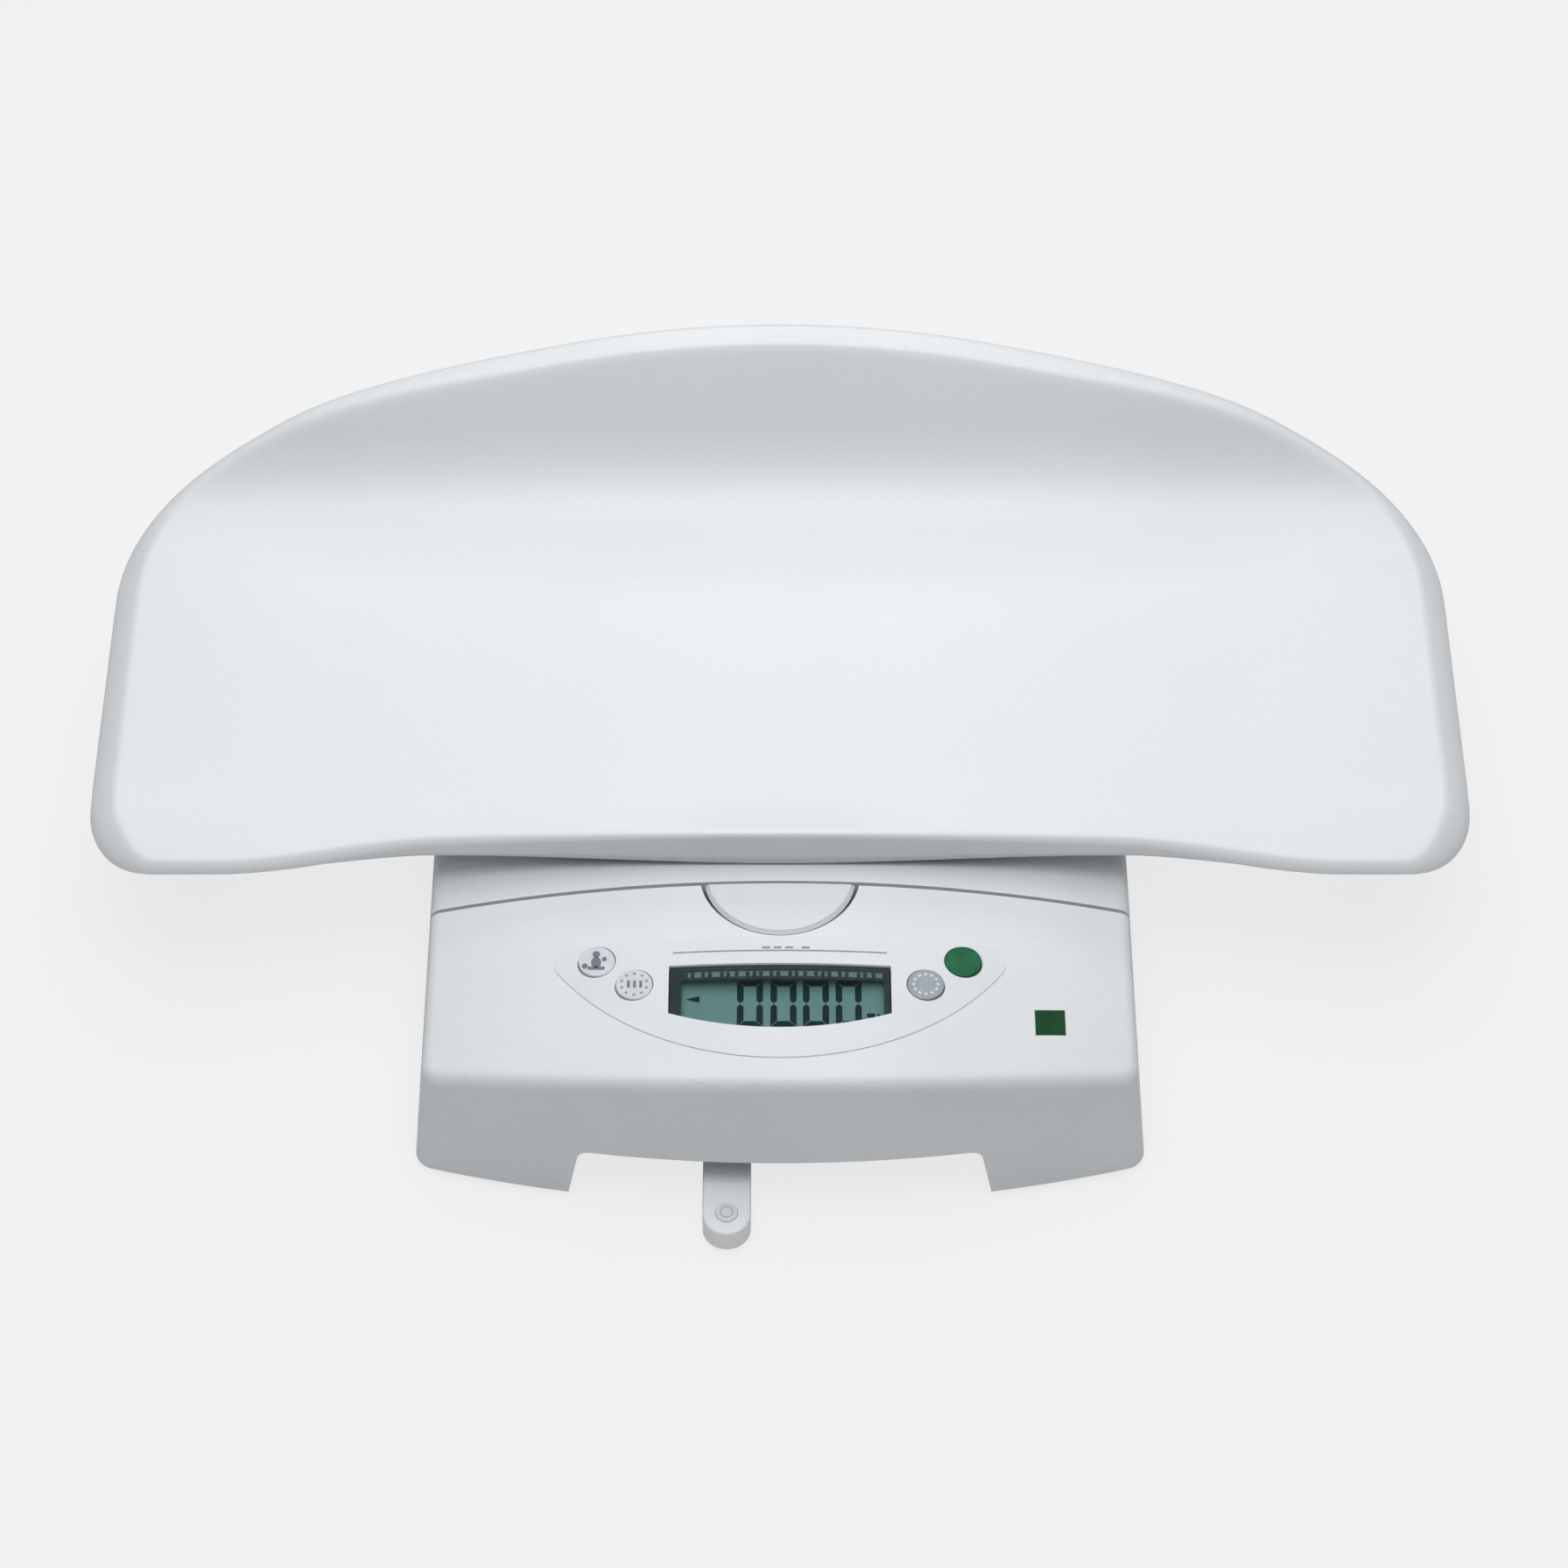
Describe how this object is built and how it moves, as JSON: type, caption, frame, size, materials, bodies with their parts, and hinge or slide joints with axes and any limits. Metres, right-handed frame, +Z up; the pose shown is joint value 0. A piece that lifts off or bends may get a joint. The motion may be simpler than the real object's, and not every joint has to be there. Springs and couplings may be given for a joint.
{
  "type": "baby scale",
  "caption": "White baby scale: a wide curved tray with a raised back lifts off a low base that has a sloping panel, a small display, keys, a release tab and a spirit level.",
  "frame": {"origin": "middle of the box's underside, on the table under the feet", "axes": "+X along the tray to the viewer's right, +Y from the panel to the raised back of the tray, +Z up"},
  "size_m": [0.553, 0.3554, 0.1621],
  "materials": {
    "housing_white": "fine moulded texture",
    "tray_white": "smooth satin moulding",
    "saddle_white": "fine moulded texture",
    "bare_aluminium": "milled",
    "fastener_steel": "zinc plated",
    "lever_grey": "fine moulded texture",
    "foot_rubber": "dull",
    "lens_clear": "clear and smooth",
    "lcd_glass": "flat with dark segments",
    "inner_black": "plain",
    "board_green": "solder mask",
    "chip_black": "plain",
    "foil_grey": "fine printed film",
    "key_green": "smooth",
    "key_grey": "smooth",
    "battery_sleeve": "printed sleeve",
    "contact_nickel": "bright plated",
    "holder_grey": "fine moulded texture",
    "vial_clear": "clear and smooth",
    "stud_grey": "moulded"
  },
  "bodies": {
    "base": {"base_shell": "housing_white", "bottom_plate": "housing_white", "cell_foot": "bare_aluminium", "load_cell": "bare_aluminium", "spider": "bare_aluminium", "platform": "housing_white", "lever_pin": "fastener_steel", "lever_spring": "fastener_steel", "housing_screws": "fastener_steel", "cell_foot_bolts": "fastener_steel", "cell_far_bolts": "fastener_steel", "platform_screws": "fastener_steel", "platform_bushes": "foot_rubber", "display_lens": "lens_clear", "lcd_module": "lcd_glass", "lcd_frame": "inner_black", "circuit_board": "board_green", "board_parts": "chip_black", "board_screws": "fastener_steel", "key_switches": "inner_black", "overlay_foil": "foil_grey", "battery_box": "inner_black", "battery_cells": "battery_sleeve", "battery_contacts": "contact_nickel", "level_holder": "holder_grey", "level_vial": "vial_clear", "level_screws": "fastener_steel"},
    "tray_body": {"tray": "tray_white", "tray_saddle": "saddle_white", "tray_pads": "foot_rubber", "tray_screws": "fastener_steel"},
    "lever_body": {"release_lever": "lever_grey"},
    "door_body": {"battery_door": "housing_white"},
    "key_start_body": {"key_start": "key_green"},
    "key_hold_body": {"key_hold": "key_grey"},
    "key_unit_body": {"key_unit": "key_grey"},
    "key_mother_child_body": {"key_mother_child": "key_grey"},
    "pad_front_left": {"foot_pad_front_left": "foot_rubber"},
    "stud_front_left": {"foot_stud_front_left": "stud_grey"},
    "pad_front_right": {"foot_pad_front_right": "foot_rubber"},
    "stud_front_right": {"foot_stud_front_right": "stud_grey"},
    "pad_back_left": {"foot_pad_back_left": "foot_rubber"},
    "stud_back_left": {"foot_stud_back_left": "stud_grey"},
    "pad_back_right": {"foot_pad_back_right": "foot_rubber"},
    "stud_back_right": {"foot_stud_back_right": "stud_grey"}
  },
  "joints": [
    {"name": "tray_lift", "type": "slide", "parent": "base", "child": "tray_body", "axis": [0, 0, 1], "range_m": [0, 0.15]},
    {"name": "lever_turn", "type": "hinge", "parent": "base", "child": "lever_body", "pos_m": [0, -0.03575, 0.07], "axis": [1, 0, 0], "range_deg": [0, 4], "stiffness_Nm_per_rad": 0.6, "springref_deg": -2.86},
    {"name": "door_swing", "type": "hinge", "parent": "base", "child": "door_body", "pos_m": [0, 0.07575, 0.0113], "axis": [1, 0, 0], "range_deg": [0, 90]},
    {"name": "key_start_press", "type": "slide", "parent": "base", "child": "key_start_body", "axis": [0, 0, -1], "range_m": [0, 0.0006], "stiffness_N_per_m": 900, "springref_m": -0.0004},
    {"name": "key_hold_press", "type": "slide", "parent": "base", "child": "key_hold_body", "axis": [0, 0, -1], "range_m": [0, 0.0006], "stiffness_N_per_m": 900, "springref_m": -0.0004},
    {"name": "key_unit_press", "type": "slide", "parent": "base", "child": "key_unit_body", "axis": [0, 0, -1], "range_m": [0, 0.0006], "stiffness_N_per_m": 900, "springref_m": -0.0004},
    {"name": "key_mother_child_press", "type": "slide", "parent": "base", "child": "key_mother_child_body", "axis": [0, 0, -1], "range_m": [0, 0.0006], "stiffness_N_per_m": 900, "springref_m": -0.0004},
    {"name": "travel_front_left", "type": "slide", "parent": "base", "child": "pad_front_left", "axis": [0, 0, -1], "range_m": [0, 0.005]},
    {"name": "turn_front_left", "type": "hinge", "parent": "pad_front_left", "child": "stud_front_left", "pos_m": [-0.118, -0.12075, 0], "axis": [0, 0, 1], "range_deg": [0, 1440]},
    {"name": "travel_front_right", "type": "slide", "parent": "base", "child": "pad_front_right", "axis": [0, 0, -1], "range_m": [0, 0.005]},
    {"name": "turn_front_right", "type": "hinge", "parent": "pad_front_right", "child": "stud_front_right", "pos_m": [0.118, -0.12075, 0], "axis": [0, 0, 1], "range_deg": [0, 1440]},
    {"name": "travel_back_left", "type": "slide", "parent": "base", "child": "pad_back_left", "axis": [0, 0, -1], "range_m": [0, 0.005]},
    {"name": "turn_back_left", "type": "hinge", "parent": "pad_back_left", "child": "stud_back_left", "pos_m": [-0.118, 0.09325, 0], "axis": [0, 0, 1], "range_deg": [0, 1440]},
    {"name": "travel_back_right", "type": "slide", "parent": "base", "child": "pad_back_right", "axis": [0, 0, -1], "range_m": [0, 0.005]},
    {"name": "turn_back_right", "type": "hinge", "parent": "pad_back_right", "child": "stud_back_right", "pos_m": [0.118, 0.09325, 0], "axis": [0, 0, 1], "range_deg": [0, 1440]}
  ],
  "couplings": [
    {"joint": "turn_front_left", "follows": "travel_front_left", "rad_per_m": 5026.5},
    {"joint": "turn_front_right", "follows": "travel_front_right", "rad_per_m": 5026.5},
    {"joint": "turn_back_left", "follows": "travel_back_left", "rad_per_m": 5026.5},
    {"joint": "turn_back_right", "follows": "travel_back_right", "rad_per_m": 5026.5}
  ]
}
